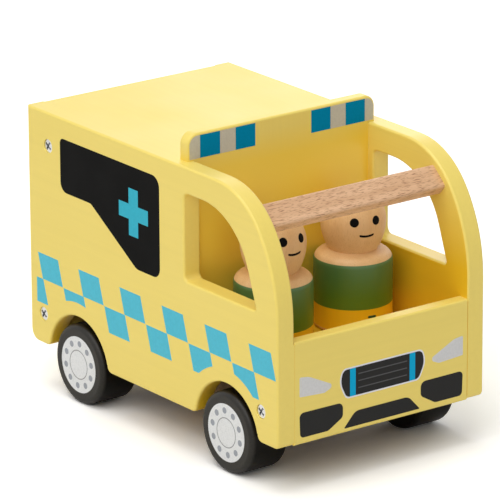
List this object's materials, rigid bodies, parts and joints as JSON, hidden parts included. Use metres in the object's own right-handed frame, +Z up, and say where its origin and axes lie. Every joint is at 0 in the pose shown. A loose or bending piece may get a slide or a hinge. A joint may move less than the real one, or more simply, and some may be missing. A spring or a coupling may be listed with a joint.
{
  "type": "toy ambulance",
  "caption": "Wooden toy ambulance with curved side panels, open cab, roof light bar, top-hinged tailgate, turned wheels on axles and loose peg figures.",
  "frame": {"origin": "on the ground under the middle of the toy's bounding box", "axes": "+X forward, +Y to the vehicle's left, +Z up"},
  "size_m": [0.18, 0.11, 0.1398],
  "materials": {
    "yellow_paint": "satin yellow paint on wood",
    "black_paint": "satin black paint on turned wood",
    "beech": "clear satin lacquer",
    "bare_wood": "bare, sanded",
    "figure_paint": "satin paint on turned beech",
    "steel": "zinc plated"
  },
  "bodies": {
    "shell": {"side_panel_right": "yellow_paint", "side_panel_left": "yellow_paint", "roof_panel": "yellow_paint", "bulkhead_light_bar": "yellow_paint", "front_panel": "yellow_paint", "floor_board": "yellow_paint", "front_beam": "bare_wood", "rear_beam": "yellow_paint", "front_axle_bearer": "bare_wood", "rear_axle_bearer": "bare_wood", "crossbar": "beech", "crossbar_dowels": "bare_wood", "tailgate_pivot_screws": "steel", "chassis_screws": "steel"},
    "front_wheels": {"front_axle": "steel", "wheel_front_left": "black_paint", "wheel_front_right": "black_paint"},
    "rear_wheels": {"rear_axle": "steel", "wheel_rear_left": "black_paint", "wheel_rear_right": "black_paint"},
    "tailgate_flap": {"tailgate": "yellow_paint"},
    "left_figure": {"figure_left": "figure_paint"},
    "right_figure": {"figure_right": "figure_paint"}
  },
  "joints": [
    {"name": "front_axle_spin", "type": "hinge", "parent": "shell", "child": "front_wheels", "pos_m": [0.054, 0, 0.018], "axis": [0, 1, 0], "continuous": true},
    {"name": "rear_axle_spin", "type": "hinge", "parent": "shell", "child": "rear_wheels", "pos_m": [-0.054, 0, 0.018], "axis": [0, 1, 0], "continuous": true},
    {"name": "tailgate_hinge", "type": "hinge", "parent": "shell", "child": "tailgate_flap", "pos_m": [-0.0746, 0, 0.1128], "axis": [0, 1, 0], "range_deg": [0, 95]},
    {"name": "left_figure_lift", "type": "slide", "parent": "shell", "child": "left_figure", "axis": [0, 0, 1], "range_m": [0, 0.1]},
    {"name": "right_figure_lift", "type": "slide", "parent": "shell", "child": "right_figure", "axis": [0, 0, 1], "range_m": [0, 0.1]}
  ]
}
